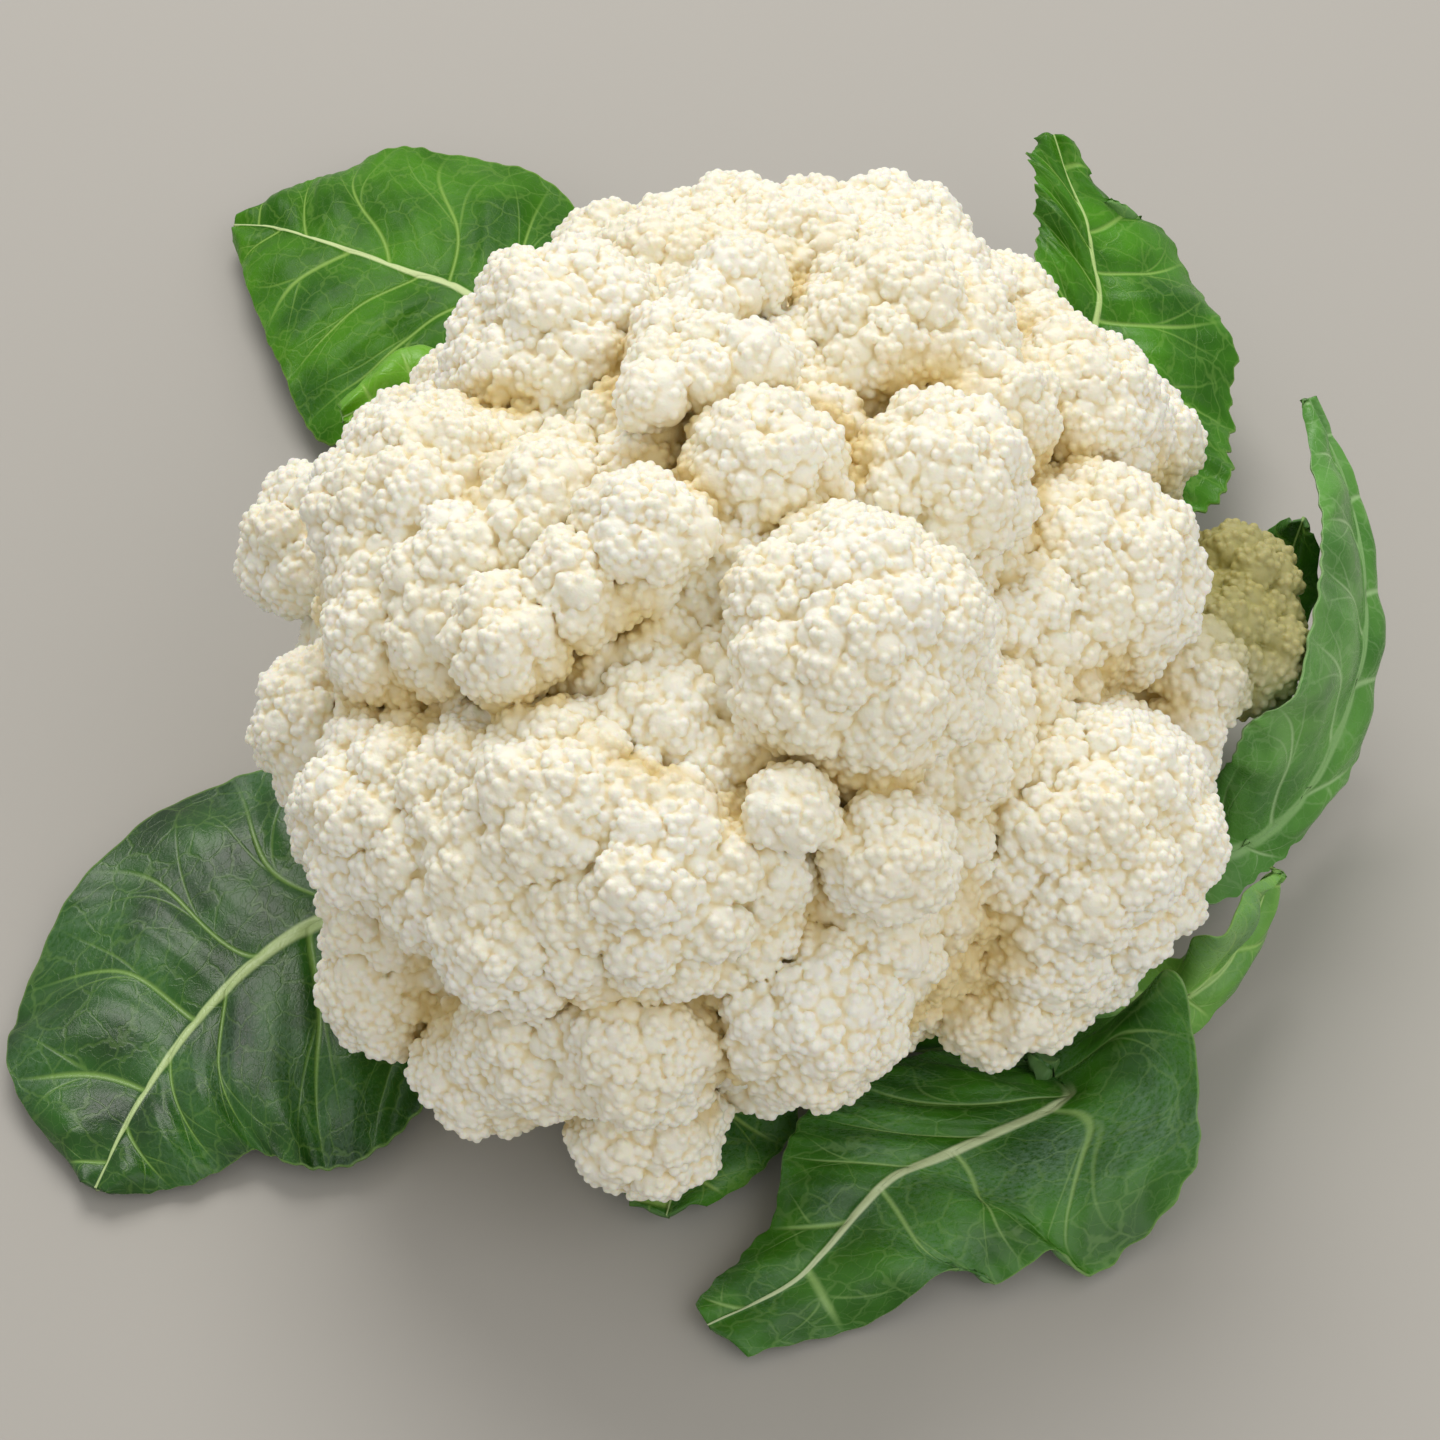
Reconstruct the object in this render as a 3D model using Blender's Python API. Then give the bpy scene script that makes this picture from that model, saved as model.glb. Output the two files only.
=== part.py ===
"""A head of cauliflower with its trimmed leaves, lying on its cut stem.

The origin is the centre of the stem's cut face, which it rests on. +Z is up, and the head is seen from -Y.
Shapes are worked out in millimetres and turned into metres when a mesh is made.
"""

import math

import bmesh
import bpy
import numpy as np

MM = 0.001
GAP = 0.3

# The head: a core that the florets stand on, in a dome about this centre.
HEAD_CENTRE = np.array((0.0, 8.0, 54.0))
CORE_RADII = np.array((73.0, 83.0, 61.0))
HEAD_SUBDIVISIONS = 5

# The underside is a shallow cone that rises from the stem to the rim.
CONE_START = 13.0
CONE_RISE = 0.13

STEM_HEIGHT = 18.0
STEM_RADIUS = 21.5
STEM_CUT_RADIUS = 17.0
STEM_CHAMFER = 1.5
STEM_SHOULDER = 5.0
STEM_SIDES = 32

# Each main floret: the centre of its dome (x, y, z) and its radius.
FLORETS = (
    # the crown
    (-26, 38, 98, 22), (-10, 9, 117, 9), (5, 16, 117, 10), (3, 41, 111, 11), (30, 38, 99, 22),
    (7, -2, 111, 16), (36, 4, 102, 18),
    # the back
    (4, 83, 83, 15), (31, 82, 82, 16), (50, 70, 77, 13), (-19, 77, 82, 14), (-35, 59, 80, 13),
    # the right side
    (59, 38, 83, 19), (73, 50, 64, 15), (61, 7, 77, 22), (88, 28, 50, 14), (79, 8, 50, 14), (89, 18, 46, 14),
    # the left side
    (-46, 4, 91, 24), (-12, -17, 110, 15), (-33, -30, 103, 13), (-69, 28, 62, 17), (-57, 48, 54, 15),
    (-66, -10, 60, 15),
    # the front
    (20, -30, 100, 25), (-11, -38, 98, 16), (-51, -39, 71, 20), (-25, -50, 88, 18), (-9, -59, 80, 21),
    (11, -57, 94, 10), (26, -59, 86, 13), (58, -34, 58, 26), (14, -69, 59, 18), (-31, -62, 70, 16),
    (-12, -70, 54, 17), (-54, -44, 54, 14),
    # the front rim
    (47, -51, 39, 15), (61, -44, 42, 13), (-55, -49, 38, 14), (-38, -62, 35, 15), (-12, -72, 34, 16),
)

# Smaller florets fill the rest of the rim and the back, by the golden angle.
FILL_COUNT = 90
FILL_RADII = np.array((60.0, 70.0, 46.0))
FILL_RADIUS = 17.0
FILL_LOWEST = -0.4
FILL_SPACING = 16.0
GOLDEN_ANGLE = math.pi * (3 - math.sqrt(5))

# Each leaf: its sections from stalk to tip, as (left margin, midrib, right margin), seen from above on the way out.
LEAVES = {
    "leaf_back_left": (
        ((-16, 18, 7), (-9, 21, 7), (-2, 23, 7)),
        ((-26, 54, 8), (-17, 57, 8), (-8, 59, 8)),
        ((-46, 92, 10), (-31, 104, 11), (-14, 118, 11)),
        ((-62, 112, 9), (-49, 141, 12), (-30, 172, 11)),
        ((-80, 108, 7), (-66, 152, 12), (-51, 189, 10)),
        ((-90, 129, 7), (-82, 161, 11), (-71, 191, 9)),
        ((-98, 152, 6), (-94, 168, 9), (-88, 184, 8)),
        ((-103, 168, 6), (-103, 172, 6), (-101, 175, 6)),
    ),
    "leaf_back_left_small": (
        ((-20, 14, 16), (-16, 18, 16), (-12, 22, 16)),
        ((-40, 50, 16), (-34, 54, 16), (-28, 58, 16)),
        ((-56, 80, 19), (-48, 85, 20), (-42, 93, 22)),
        ((-62, 88, 21), (-56, 97, 25), (-52, 108, 29)),
        ((-67, 90, 23), (-64, 99, 28), (-63, 109, 31)),
        ((-73, 92, 26), (-73, 94, 27), (-74, 96, 28)),
    ),
    "leaf_front_left": (
        ((-20, -13, 7), (-22, -7, 7), (-23, -1, 7)),
        ((-46, -18, 8), (-48, -10, 8), (-50, -1, 8)),
        ((-51, -50, 6), (-68, -13, 9), (-76, 20, 8)),
        ((-62, -62, 5), (-80, -21, 9), (-95, 19, 7)),
        ((-74, -63, 5), (-90, -33, 8), (-112, 2, 6)),
        ((-80, -60, 6), (-97, -45, 7), (-121, -18, 5)),
        ((-88, -65, 4), (-102, -56, 6), (-124, -42, 4)),
        ((-103, -68, 3), (-106, -67, 4), (-109, -65, 3)),
    ),
    "leaf_back_right": (
        ((6, 23, 16), (11, 20, 16), (16, 17, 16)),
        ((28, 64, 15), (35, 58, 15), (43, 52, 15)),
        ((46, 100, 21), (58, 91, 19), (76, 74, 17)),
        ((58, 118, 29), (70, 108, 25), (95, 77, 20)),
        ((63, 133, 35), (75, 122, 30), (100, 98, 20)),
        ((63, 141, 39), (74, 132, 34), (101, 119, 22)),
        ((63, 147, 41), (73, 139, 37), (92, 143, 29)),
        ((62, 152, 43), (70, 147, 40), (79, 145, 36)),
        ((64, 156, 45), (67, 156, 45), (71, 155, 44)),
    ),
    "leaf_right": (
        ((23, 6, 7), (23, 0, 7), (23, -6, 7)),
        ((60, 8, 8), (60, 0, 8), (60, -9, 8)),
        ((84, 8, 14), (86, 0, 9), (88, -8, 6)),
        ((89, 3, 31), (98, 4, 11), (102, 3, 5)),
        ((91, 0, 44), (108, 13, 17), (113, 15, 8)),
        ((100, 7, 51), (116, 29, 29), (121, 31, 19)),
        ((105, 28, 57), (117, 43, 38), (121, 44, 30)),
        ((107, 42, 57), (114, 57, 47), (117, 58, 42)),
        ((106, 66, 58), (107, 68, 58), (108, 69, 57)),
    ),
    "leaf_right_small": (
        ((17, 14, 16), (20, 9, 16), (22, 4, 16)),
        ((52, 35, 16), (55, 29, 16), (58, 23, 16)),
        ((84, 52, 21), (88, 43, 19), (93, 35, 21)),
        ((96, 54, 30), (100, 46, 29), (105, 39, 30)),
        ((97, 52, 41), (102, 47, 42), (107, 42, 41)),
        ((101, 49, 49), (103, 47, 50), (105, 45, 49)),
    ),
    "leaf_right_lower": (
        ((24, -4, 16), (21, -10, 16), (18, -16, 16)),
        ((51, -15, 15), (48, -21, 15), (44, -27, 15)),
        ((77, -29, 18), (74, -34, 13), (75, -40, 9)),
        ((80, -36, 33), (84, -32, 15), (87, -34, 10)),
        ((85, -37, 36), (91, -25, 19), (95, -23, 14)),
        ((90, -26, 33), (95, -18, 24), (98, -15, 19)),
        ((96, -18, 28), (97, -17, 27), (98, -16, 26)),
    ),
    "leaf_front_right": (
        ((19, -14, 7), (14, -18, 7), (9, -22, 7)),
        ((40, -29, 7), (34, -34, 7), (28, -39, 7)),
        ((66, -40, 16), (53, -45, 9), (40, -42, 10)),
        ((76, -48, 40), (60, -52, 11), (34, -45, 12)),
        ((80, -57, 21), (57, -56, 12), (27, -48, 13)),
        ((79, -68, 9), (47, -61, 12), (21, -51, 13)),
        ((65, -82, 3), (37, -66, 12), (16, -56, 13)),
        ((56, -81, 7), (29, -70, 12), (12, -62, 12)),
        ((46, -85, 3), (23, -76, 11), (10, -69, 11)),
        ((37, -85, 6), (17, -83, 9), (8, -77, 9)),
        ((26, -92, 3), (11, -88, 7), (2, -83, 6)),
        ((4, -98, 2), (-2, -93, 3), (-4, -89, 3)),
    ),
    "leaf_front_under": (
        ((4, -24, 16), (-2, -24, 16), (-8, -24, 16)),
        ((4, -42, 13), (-4, -42, 13), (-12, -42, 13)),
        ((13, -52, 7), (-6, -54, 8), (-24, -50, 8)),
        ((9, -62, 5), (-7, -64, 6), (-22, -60, 6)),
        ((-2, -71, 5), (-9, -73, 5), (-15, -71, 5)),
    ),
}
STEPS_PER_SECTION = 2
LEAF_HALF_STEPS = 3
BLADE_THICKNESS = 1.3
STALK_THICKNESS = 4.5
RIB_THICKNESS = 1.5
RIB_SHARE = 0.3
STALK_END = 0.3
BULGE = 1.5

LEAF_COLOURS = {
    "leaf_back_left": (0.03, 0.16, 0.02),
    "leaf_back_left_small": (0.10, 0.28, 0.03),
    "leaf_front_left": (0.02, 0.10, 0.03),
    "leaf_back_right": (0.05, 0.21, 0.04),
    "leaf_right": (0.10, 0.30, 0.09),
    "leaf_right_small": (0.02, 0.12, 0.02),
    "leaf_right_lower": (0.22, 0.42, 0.10),
    "leaf_front_right": (0.04, 0.17, 0.03),
    "leaf_front_under": (0.03, 0.12, 0.02),
}
CURD_COLOUR = (0.82, 0.76, 0.58)
STEM_COLOUR = (0.62, 0.66, 0.40)


def clear_scene():
    for obj in list(bpy.data.objects):
        bpy.data.objects.remove(obj, do_unlink=True)


def material(name, colour, roughness):
    made = bpy.data.materials.new(name)
    made.use_nodes = True
    shader = made.node_tree.nodes["Principled BSDF"]
    shader.inputs["Base Color"].default_value = (*colour, 1.0)
    shader.inputs["Roughness"].default_value = roughness
    shader.inputs["Metallic"].default_value = 0.0
    return made


def add_object(name, mesh, colour, roughness):
    mesh.shade_smooth()
    mesh.materials.append(material(name, colour, roughness))
    bpy.context.scene.collection.objects.link(bpy.data.objects.new(name, mesh))


def fill_spheres():
    """Florets on a golden-angle spiral about the head, wherever no floret with its own place is near."""
    filled = []
    for i in range(FILL_COUNT):
        up = 1 - 2 * (i + 0.5) / FILL_COUNT
        out, turn = math.sqrt(1 - up**2), i * GOLDEN_ANGLE
        centre = HEAD_CENTRE + FILL_RADII * (out * math.cos(turn), out * math.sin(turn), up)
        nearest = min(math.dist(centre, row[:3]) for row in FLORETS)
        if up > FILL_LOWEST and nearest > FILL_SPACING:
            filled.append((*centre, FILL_RADIUS))
    return filled


def reach(aims, centre, radius):
    """How far along each aim, from the head's centre, a sphere reaches. Zero where the aim misses it."""
    offset = np.array(centre) - HEAD_CENTRE
    along = aims @ offset
    inside = radius**2 - offset @ offset + along**2
    return np.where(inside > 0, along + np.sqrt(np.maximum(inside, 0)), 0)


def make_curd():
    bm = bmesh.new()
    bmesh.ops.create_icosphere(bm, subdivisions=HEAD_SUBDIVISIONS, radius=1)
    aims = np.array([vert.co.normalized() for vert in bm.verts])
    far = 1 / np.linalg.norm(aims / CORE_RADII, axis=1)
    for x, y, z, radius in (*FLORETS, *fill_spheres()):
        far = np.maximum(far, reach(aims, (x, y, z), radius))
    down = np.maximum(-aims[:, 2], 1e-3)
    out = np.hypot(aims[:, 0], aims[:, 1])
    cone = (HEAD_CENTRE[2] - CONE_START) / (down + CONE_RISE * out)
    flat = (HEAD_CENTRE[2] - STEM_HEIGHT - GAP) / down
    far = np.where(aims[:, 2] < 0, np.minimum(far, np.minimum(cone, flat)), far)
    for vert, aim, length in zip(bm.verts, aims, far):
        vert.co = (HEAD_CENTRE + aim * length) * MM
    mesh = bpy.data.meshes.new("curd")
    bm.to_mesh(mesh)
    bm.free()
    add_object("curd", mesh, CURD_COLOUR, 0.7)


def make_stem():
    """A short stump, narrower at its cut face, with the cut's edge chamfered."""
    rings = (
        (0.0, STEM_CUT_RADIUS - STEM_CHAMFER),
        (STEM_CHAMFER, STEM_CUT_RADIUS),
        (STEM_SHOULDER, STEM_RADIUS),
        (STEM_HEIGHT, STEM_RADIUS),
    )
    bm = bmesh.new()
    previous = None
    for height, radius in rings:
        ring = []
        for i in range(STEM_SIDES):
            turn = 2 * math.pi * i / STEM_SIDES
            point = (radius * math.cos(turn), radius * math.sin(turn), height)
            ring.append(bm.verts.new([c * MM for c in point]))
        if previous:
            for i in range(STEM_SIDES):
                j = (i + 1) % STEM_SIDES
                bm.faces.new((previous[i], previous[j], ring[j], ring[i]))
        else:
            bm.faces.new(ring[::-1])
        previous = ring
    bm.faces.new(previous)
    mesh = bpy.data.meshes.new("stem")
    bm.to_mesh(mesh)
    bm.free()
    add_object("stem", mesh, STEM_COLOUR, 0.6)


def through(rows):
    """Points on the smooth curve through the rows (Catmull-Rom), from the first row to the last."""
    rows = np.array(rows, float)
    steps = STEPS_PER_SECTION * (len(rows) - 1)
    ends = np.concatenate((2 * rows[:1] - rows[1:2], rows, 2 * rows[-1:] - rows[-2:-1]))
    found = []
    for t in np.linspace(0, len(rows) - 1, steps + 1):
        i = min(int(t), len(rows) - 2)
        a, b, c, d = ends[i : i + 4]
        f = t - i
        found.append(b + 0.5 * f * (c - a + f * (2 * a - 5 * b + 4 * c - d + f * (3 * (b - c) + d - a))))
    return np.array(found)


def leaf_surface(sections):
    """The leaf's upper surface as a grid of points, and each point's share of the way to the margin."""
    left, middle, right = through(sections).swapaxes(0, 1)
    shares = np.linspace(-1, 1, 2 * LEAF_HALF_STEPS + 1)
    columns = [middle + (left - middle) * max(-s, 0) + (right - middle) * max(s, 0) for s in shares]
    return np.array(columns).swapaxes(0, 1), shares


def grid_normals(grid):
    along, across = np.gradient(grid, axis=0), np.gradient(grid, axis=1)
    normals = np.cross(across, along)
    return normals / np.linalg.norm(normals, axis=2, keepdims=True)


def leaf_thickness(out, shares):
    """Stalk, midrib and blade in one: thick in the stalk, and thin towards the margins and the tip."""
    stalk = np.clip(1 - out / STALK_END, 0, 1)
    rib = RIB_THICKNESS * (1 - out) + (STALK_THICKNESS - RIB_THICKNESS) * stalk
    rounded = np.exp(-((shares / (RIB_SHARE + 0.5 * stalk)) ** 2))
    return BLADE_THICKNESS + rib * rounded


def make_leaf(name, sections):
    grid, shares = leaf_surface(sections)
    normals = grid_normals(grid)
    out = np.linspace(0, 1, len(grid))[:, None]
    bulge = BULGE * np.sin(np.pi * np.abs(shares)) * np.clip(out / STALK_END - 1, 0, 1)
    top = grid + normals * bulge[..., None]
    bottom = top - normals * leaf_thickness(out, shares)[..., None]
    bottom[..., 2] = np.maximum(bottom[..., 2], GAP)
    rows, columns = top.shape[:2]
    bm = bmesh.new()
    upper = [[bm.verts.new(p * MM) for p in row] for row in top]
    lower = [[bm.verts.new(p * MM) for p in row] for row in bottom]
    for i in range(rows - 1):
        for j in range(columns - 1):
            bm.faces.new((upper[i][j], upper[i][j + 1], upper[i + 1][j + 1], upper[i + 1][j]))
            bm.faces.new((lower[i][j], lower[i + 1][j], lower[i + 1][j + 1], lower[i][j + 1]))
    rim = [(i, 0) for i in range(rows)] + [(rows - 1, j) for j in range(1, columns)]
    rim += [(i, columns - 1) for i in range(rows - 2, -1, -1)] + [(0, j) for j in range(columns - 2, 0, -1)]
    for (i, j), (k, m) in zip(rim, rim[1:] + rim[:1]):
        bm.faces.new((upper[i][j], upper[k][m], lower[k][m], lower[i][j]))
    bmesh.ops.recalc_face_normals(bm, faces=bm.faces)
    mesh = bpy.data.meshes.new(name)
    bm.to_mesh(mesh)
    bm.free()
    add_object(name, mesh, LEAF_COLOURS[name], 0.45)


def main():
    clear_scene()
    make_curd()
    make_stem()
    for name, sections in LEAVES.items():
        make_leaf(name, sections)


main()
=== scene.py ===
"""The looks of a head of cauliflower with its trimmed leaves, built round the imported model.

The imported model's frame: the origin is the centre of the stem's cut face, +Z is up, and the head is
seen from -Y. Shapes are worked out in millimetres and turned into metres when a mesh is made.
"""

import itertools
import math

import bpy
import numpy as np
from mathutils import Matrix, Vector, kdtree


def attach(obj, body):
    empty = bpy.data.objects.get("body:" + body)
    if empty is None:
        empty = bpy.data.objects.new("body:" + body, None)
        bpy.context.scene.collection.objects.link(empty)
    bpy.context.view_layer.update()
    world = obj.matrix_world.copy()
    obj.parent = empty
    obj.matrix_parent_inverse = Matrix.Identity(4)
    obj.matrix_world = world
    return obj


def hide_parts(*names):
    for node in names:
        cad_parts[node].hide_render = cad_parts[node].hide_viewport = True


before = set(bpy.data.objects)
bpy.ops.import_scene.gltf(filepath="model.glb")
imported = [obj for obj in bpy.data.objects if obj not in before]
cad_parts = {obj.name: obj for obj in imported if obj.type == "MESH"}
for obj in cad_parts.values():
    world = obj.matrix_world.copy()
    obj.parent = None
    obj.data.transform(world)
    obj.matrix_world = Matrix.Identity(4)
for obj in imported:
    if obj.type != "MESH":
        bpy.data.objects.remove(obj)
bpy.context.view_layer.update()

MM = 0.001
GOLDEN_ANGLE = math.pi * (3 - math.sqrt(5))
rng = np.random.default_rng(7)

# The head's florets as (x, y, z, radius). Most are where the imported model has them, and others fill the dips
# between those. The florets of one group have grown together.
HEAD_CENTRE = np.array((0.0, 8.0, 54.0))
CORE_RADII = np.array((73.0, 83.0, 61.0))
FLORET_GROUPS = (
    # the crown
    ((-26, 38, 98, 22), (-42, 34, 84, 14)),
    ((-10, 9, 117, 9), (5, 16, 117, 10), (3, 41, 111, 11), (-8, 26, 112, 10)),
    ((7, -2, 111, 16),),
    ((30, 38, 99, 22), (44, 26, 97, 15)),
    ((36, 4, 102, 18),),
    # the back
    (
        (4, 83, 83, 15), (31, 82, 82, 16), (-19, 77, 82, 14),
        (15, 64, 90, 18), (-8, 62, 92, 15), (38, 60, 88, 16),
    ),
    # the right side
    ((59, 38, 83, 19), (50, 70, 77, 13), (73, 50, 64, 15)),
    ((61, 7, 77, 22), (52, -8, 82, 14)),
    ((91, 28, 50, 14), (80, 8, 50, 14), (92, 18, 46, 14), (76, -7, 42, 12)),
    # the left side
    ((-46, 4, 91, 24), (-12, -17, 110, 15), (-33, -30, 103, 13), (-50, -14, 88, 17)),
    ((-69, 28, 62, 17), (-57, 48, 54, 15), (-35, 59, 80, 13), (-54, 40, 70, 15)),
    ((-66, -10, 60, 15), (-62, -22, 48, 13)),
    # the front
    ((20, -30, 100, 25),),
    ((-9, -37, 89, 17),),
    ((-51, -39, 71, 20), (-25, -50, 88, 18), (-9, -59, 80, 21), (-31, -62, 70, 16), (-38, -52, 76, 17)),
    ((11, -57, 94, 10), (2, -62, 72, 14)),
    ((26, -59, 86, 13),),
    ((14, -69, 59, 18), (24, -60, 66, 14)),
    ((58, -34, 58, 26), (47, -51, 39, 15), (61, -44, 42, 13)),
    # the front rim
    ((-12, -70, 54, 17), (-38, -62, 35, 15), (-30, -66, 48, 14)),
    ((-12, -72, 34, 16),),
    ((-54, -44, 54, 14), (-55, -49, 38, 14)),
)
# A bridging ball's size next to its two florets', and how far apart they may be, in radii.
BRIDGE_SHARE = 0.93
BRIDGE_REACH = 2.0
# Where no floret above is near, florets on an even spiral fill the head.
FILL_COUNT = 90
FILL_RADII = np.array((60.0, 70.0, 46.0))
FILL_RADIUS = 17.0
FILL_LOWEST = -0.4
FILL_SPACING = 16.0

# The underside of the head rises from the stem to the rim. Balls stay this clear of it, and those that it
# leaves too small are dropped.
CONE_START = 13.0
CONE_RISE = 0.13
UNDERSIDE_ROOM = 0.5
LEAST_BALL = 0.8

# The inside: branches from the stem to the florets, and balls and lobes that fill the core.
BRANCH_ROOT = np.array((0.0, 4.0, 30.0))
BRANCH_RADIUS = 10.0
BRANCH_STEP = 3.0
BRANCH_SHARE = 0.5
CORE_BALL = 17.0
CORE_STEP = 15.0
CORE_CLEARANCE = 6.0
CORE_LOBES = 430
CORE_LOBE_RADIUS = 8.5
CORE_LOBE_DEPTH = 11.0
CORE_LOBE_COVER = 0.3

# The stump under the head: its rings as (height, radius).
STEM_RINGS = (
    (0.0, 0.2),
    (0.0, 15.5),
    (0.5, 16.5),
    (1.5, 17.0),
    (5.0, 21.3),
    (8.0, 21.5),
    (12.0, 21.2),
    (17.6, 21.5),
    (18.0, 0.2),
)
STEM_SIDES = 160
STEM_RING_STEP = 0.8

# Buds on buds: each floret carries lobes, each lobe clusters, and each cluster beads. A bud's centre lies
# sink times its own radius under the surface of the ball that it grows on. The cosine of its angle from that
# ball's axis is at least lowest, and jitter is how far its place strays. It is left out where another ball
# covers its tip by more than cover times its radius.
FLORET_SHRINK = 3.4
LOBES = dict(sink=0.78, lowest=-0.35, jitter=0.2, cover=0.25)
CLUSTERS = dict(sink=0.72, lowest=-0.2, jitter=0.14, cover=0.3)
BEADS = dict(sink=0.55, lowest=-0.1, jitter=0.15, cover=0.3)
LOBE_SIZE = 1.75
LOBE_SPACING = 1.6
CLUSTER_RADIUS = 3.3
CLUSTER_SPACING = 4.8
BEAD_RADIUS = 0.86
BEAD_SPACING = 1.35
# How far each kind of ball is drawn in, so that the buds on it stand out.
FLORET_INSET = 2.5
GROUND_INSET = 2.0
LOBE_INSET = 1.0
CLUSTER_INSET = 0.3

# The surface round the balls: its grid, and the smoothing scales that its colours are told from.
VOXEL = 0.34
SKIN_LEVEL = 0.5
BEAD_SCALE = 0.8
CLUSTER_SCALE = 1.8
GAP_CHUNK = 100000
GAP_FADE = 6.0
GAP_SOFTENING = 30

# The florets behind the upright leaf are painted olive and darker round this place (metres): painted shade of
# the leaf, with the green light through it painted in.
LEAF_SHADOW_CENTRE = (0.094, 0.026, 0.052)

# Each leaf: its sections from stalk to tip, as (left margin, midrib, right margin), seen from above on the
# way out.
LEAVES = {
    "leaf_back_left": (
        ((-16, 18, 7), (-9, 21, 7), (-2, 23, 7)),
        ((-26, 54, 8), (-17, 57, 8), (-8, 59, 8)),
        ((-46, 92, 10), (-31, 104, 11), (-14, 118, 11)),
        ((-62, 112, 9), (-49, 141, 12), (-30, 172, 11)),
        ((-80, 108, 7), (-66, 152, 12), (-51, 189, 10)),
        ((-90, 129, 7), (-82, 161, 11), (-71, 191, 9)),
        ((-98, 152, 6), (-94, 168, 9), (-88, 184, 8)),
        ((-103, 168, 6), (-103, 172, 6), (-101, 175, 6)),
    ),
    "leaf_back_left_small": (
        ((-20, 14, 16), (-16, 18, 16), (-12, 22, 16)),
        ((-40, 50, 16), (-34, 54, 16), (-28, 58, 16)),
        ((-56, 80, 19), (-48, 85, 20), (-42, 93, 22)),
        ((-62, 88, 21), (-56, 97, 25), (-52, 108, 29)),
        ((-67, 90, 23), (-64, 99, 28), (-63, 109, 31)),
        ((-73, 92, 26), (-73, 94, 27), (-74, 96, 28)),
    ),
    "leaf_front_left": (
        ((-20, -13, 7), (-22, -7, 7), (-23, -1, 7)),
        ((-46, -18, 8), (-48, -10, 8), (-50, -1, 8)),
        ((-51, -50, 6), (-68, -13, 9), (-76, 20, 8)),
        ((-62, -62, 5), (-80, -21, 9), (-95, 19, 7)),
        ((-74, -63, 5), (-90, -33, 8), (-112, 2, 6)),
        ((-80, -60, 6), (-97, -45, 7), (-121, -18, 5)),
        ((-88, -65, 4), (-102, -56, 6), (-124, -42, 4)),
        ((-103, -68, 3), (-106, -67, 4), (-109, -65, 3)),
    ),
    "leaf_back_right": (
        ((6, 23, 16), (11, 20, 16), (16, 17, 16)),
        ((28, 64, 15), (35, 58, 15), (43, 52, 15)),
        ((46, 100, 21), (58, 91, 19), (76, 74, 17)),
        ((58, 118, 29), (70, 108, 25), (95, 77, 20)),
        ((63, 133, 35), (75, 122, 30), (100, 98, 20)),
        ((63, 141, 39), (74, 132, 34), (101, 119, 22)),
        ((63, 147, 41), (73, 139, 37), (92, 143, 29)),
        ((62, 152, 43), (70, 147, 40), (79, 145, 36)),
        ((64, 156, 45), (67, 156, 45), (71, 155, 44)),
    ),
    "leaf_right": (
        ((23, 6, 7), (23, 0, 7), (23, -6, 7)),
        ((60, 8, 8), (60, 0, 8), (60, -9, 8)),
        ((84, 8, 14), (86, 0, 9), (88, -8, 6)),
        ((89, 3, 31), (98, 4, 11), (102, 3, 5)),
        ((91, 0, 44), (108, 13, 17), (113, 15, 8)),
        ((100, 7, 51), (116, 29, 29), (121, 31, 19)),
        ((105, 28, 57), (117, 43, 38), (121, 44, 30)),
        ((107, 42, 57), (114, 57, 47), (117, 58, 42)),
        ((106, 66, 58), (107, 68, 58), (108, 69, 57)),
    ),
    "leaf_right_small": (
        ((17, 14, 16), (20, 9, 16), (22, 4, 16)),
        ((52, 35, 16), (55, 29, 16), (58, 23, 16)),
        ((86, 51, 21), (90, 42, 19), (95, 34, 21)),
        ((98, 52, 30), (102, 44, 29), (107, 37, 30)),
        ((99, 50, 41), (104, 45, 42), (109, 40, 41)),
        ((103, 47, 49), (105, 45, 50), (107, 43, 49)),
    ),
    "leaf_right_lower": (
        ((24, -4, 16), (21, -10, 16), (18, -16, 16)),
        ((51, -15, 15), (48, -21, 15), (44, -27, 15)),
        ((77, -29, 18), (74, -34, 13), (75, -40, 9)),
        ((80, -36, 33), (84, -32, 15), (87, -34, 10)),
        ((85, -37, 36), (91, -25, 19), (95, -23, 14)),
        ((90, -26, 33), (95, -18, 24), (98, -15, 19)),
        ((96, -18, 28), (97, -17, 27), (98, -16, 26)),
    ),
    "leaf_front_right": (
        ((19, -14, 7), (14, -18, 7), (9, -22, 7)),
        ((40, -29, 7), (34, -34, 7), (28, -39, 7)),
        ((66, -40, 16), (53, -45, 9), (40, -42, 10)),
        ((76, -48, 40), (60, -52, 11), (34, -45, 12)),
        ((80, -57, 21), (57, -56, 12), (27, -48, 13)),
        ((79, -68, 9), (47, -61, 12), (21, -51, 13)),
        ((65, -82, 3), (37, -66, 12), (16, -56, 13)),
        ((56, -81, 7), (29, -70, 12), (12, -62, 12)),
        ((46, -85, 3), (23, -76, 11), (10, -69, 11)),
        ((37, -85, 6), (17, -83, 9), (8, -77, 9)),
        ((26, -92, 3), (11, -88, 7), (2, -83, 6)),
        ((4, -98, 2), (-2, -93, 3), (-4, -89, 3)),
    ),
    "leaf_front_under": (
        ((4, -24, 16), (-2, -24, 16), (-8, -24, 16)),
        ((4, -42, 13), (-4, -42, 13), (-12, -42, 13)),
        ((13, -52, 7), (-6, -54, 8), (-24, -50, 8)),
        ((9, -62, 5), (-7, -64, 6), (-22, -60, 6)),
        ((-2, -71, 5), (-9, -73, 5), (-15, -71, 5)),
    ),
}

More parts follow.
